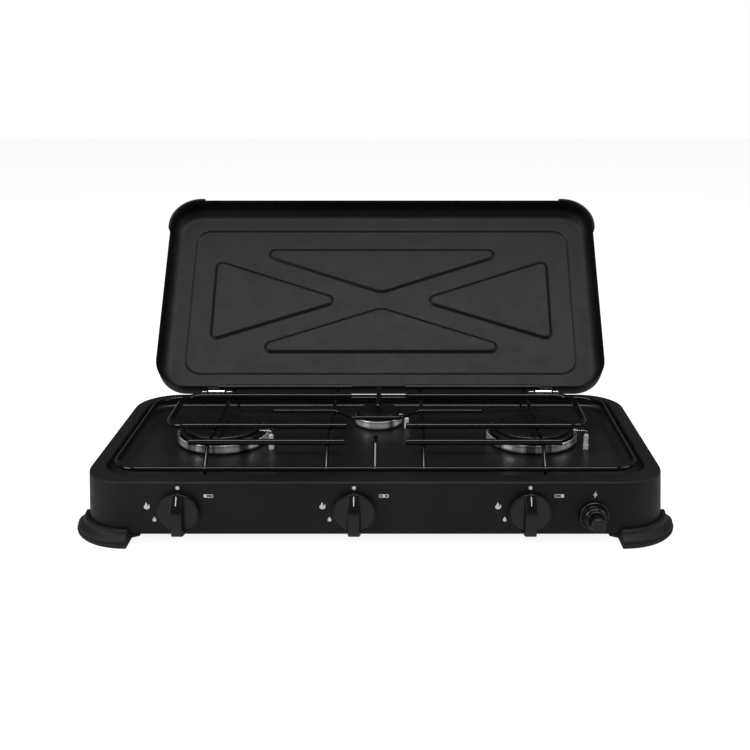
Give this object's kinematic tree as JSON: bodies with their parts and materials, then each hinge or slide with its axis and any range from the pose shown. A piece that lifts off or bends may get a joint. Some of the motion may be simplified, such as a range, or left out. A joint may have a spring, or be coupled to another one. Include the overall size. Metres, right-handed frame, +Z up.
{
  "type": "camping stove",
  "caption": "Black gas camping stove with a hinged lid, a wire pan support, burners, knobs and a push igniter; the lid is open.",
  "frame": {"origin": "under the middle of the whole stove's box with the lid open, on the surface it stands on", "axes": "+Z up, -Y the front with the knobs, +X to the right as seen from the front"},
  "size_m": [0.688, 0.5935, 0.3147],
  "materials": {
    "black_paint": "satin black powder coat",
    "tray_paint": "satin black enamel",
    "grate_enamel": "glossy black enamel",
    "burner_chrome": "polished chrome",
    "burner_black": "semi-gloss black enamel",
    "knob_plastic": "satin black moulding",
    "button_plastic": "glossy black moulding",
    "foot_rubber": "matt black rubber",
    "bright_steel": "bright zinc plated",
    "brass": "turned brass",
    "ceramic": "white glazed ceramic",
    "lead_sleeve": "red silicone sleeve"
  },
  "bodies": {
    "casing": {"housing": "black_paint", "base_plate": "black_paint", "hob_tray": "tray_paint", "foot_front_left": "foot_rubber", "foot_front_right": "foot_rubber", "foot_rear_left": "foot_rubber", "foot_rear_right": "foot_rubber", "foot_screw_front_left": "bright_steel", "foot_screw_front_right": "bright_steel", "foot_screw_rear_left": "bright_steel", "foot_screw_rear_right": "bright_steel", "hinge_pin_left": "bright_steel", "hinge_base_leaf_left": "bright_steel", "hinge_pin_right": "bright_steel", "hinge_base_leaf_right": "bright_steel", "burner_cup_left": "burner_chrome", "burner_head_left": "burner_black", "burner_tube_left": "bright_steel", "electrode_tip_left": "bright_steel", "electrode_ceramic_left": "ceramic", "ignition_lead_left": "lead_sleeve", "gas_valve_left": "brass", "burner_cup_centre": "burner_chrome", "burner_head_centre": "burner_black", "burner_tube_centre": "bright_steel", "electrode_tip_centre": "bright_steel", "electrode_ceramic_centre": "ceramic", "ignition_lead_centre": "lead_sleeve", "gas_valve_centre": "brass", "burner_cup_right": "burner_chrome", "burner_head_right": "burner_black", "burner_tube_right": "bright_steel", "electrode_tip_right": "bright_steel", "electrode_ceramic_right": "ceramic", "ignition_lead_right": "lead_sleeve", "gas_valve_right": "brass", "gas_rail": "bright_steel", "igniter_spring": "bright_steel", "gas_inlet": "brass", "igniter_bezel": "button_plastic", "igniter_body": "knob_plastic"},
    "lid": {"lid": "black_paint", "lid_corner_guard_left": "foot_rubber", "lid_corner_guard_right": "foot_rubber", "hinge_lid_leaf_left": "bright_steel", "hinge_lid_leaf_right": "bright_steel"},
    "pan_support": {"pan_support": "grate_enamel"},
    "burner_cap_left": {"burner_cap_left": "burner_black"},
    "burner_cap_centre": {"burner_cap_centre": "burner_black"},
    "burner_cap_right": {"burner_cap_right": "burner_black"},
    "push_left": {"spindle_collar_left": "bright_steel"},
    "knob_left": {"knob_left": "knob_plastic", "valve_spindle_left": "bright_steel"},
    "push_centre": {"spindle_collar_centre": "bright_steel"},
    "knob_centre": {"knob_centre": "knob_plastic", "valve_spindle_centre": "bright_steel"},
    "push_right": {"spindle_collar_right": "bright_steel"},
    "knob_right": {"knob_right": "knob_plastic", "valve_spindle_right": "bright_steel"},
    "igniter_button": {"igniter_button": "button_plastic"}
  },
  "joints": [
    {"name": "lid_hinge", "type": "hinge", "parent": "casing", "child": "lid", "pos_m": [0, 0.06212, 0.0755], "axis": [-1, 0, 0], "range_deg": [-132, 0]},
    {"name": "pan_support_lift", "type": "slide", "parent": "casing", "child": "pan_support", "axis": [0, 0, 1], "range_m": [0, 0.06]},
    {"name": "burner_cap_left_lift", "type": "slide", "parent": "casing", "child": "burner_cap_left", "axis": [0, 0, 1], "range_m": [0, 0.008]},
    {"name": "burner_cap_centre_lift", "type": "slide", "parent": "casing", "child": "burner_cap_centre", "axis": [0, 0, 1], "range_m": [0, 0.008]},
    {"name": "burner_cap_right_lift", "type": "slide", "parent": "casing", "child": "burner_cap_right", "axis": [0, 0, 1], "range_m": [0, 0.008]},
    {"name": "knob_left_push", "type": "slide", "parent": "casing", "child": "push_left", "axis": [0, 1, 0], "range_m": [0, 0.003], "stiffness_N_per_m": 900},
    {"name": "knob_left_turn", "type": "hinge", "parent": "push_left", "child": "knob_left", "pos_m": [-0.216, -0.26628, 0.0395], "axis": [0, -1, 0], "range_deg": [0, 120]},
    {"name": "knob_centre_push", "type": "slide", "parent": "casing", "child": "push_centre", "axis": [0, 1, 0], "range_m": [0, 0.003], "stiffness_N_per_m": 900},
    {"name": "knob_centre_turn", "type": "hinge", "parent": "push_centre", "child": "knob_centre", "pos_m": [-0.0222, -0.26628, 0.0395], "axis": [0, -1, 0], "range_deg": [0, 120]},
    {"name": "knob_right_push", "type": "slide", "parent": "casing", "child": "push_right", "axis": [0, 1, 0], "range_m": [0, 0.003], "stiffness_N_per_m": 900},
    {"name": "knob_right_turn", "type": "hinge", "parent": "push_right", "child": "knob_right", "pos_m": [0.1716, -0.26628, 0.0395], "axis": [0, -1, 0], "range_deg": [0, 120]},
    {"name": "igniter_press", "type": "slide", "parent": "casing", "child": "igniter_button", "axis": [0, 1, 0], "range_m": [0, 0.006], "stiffness_N_per_m": 700, "deforming": ["igniter_spring"]}
  ]
}
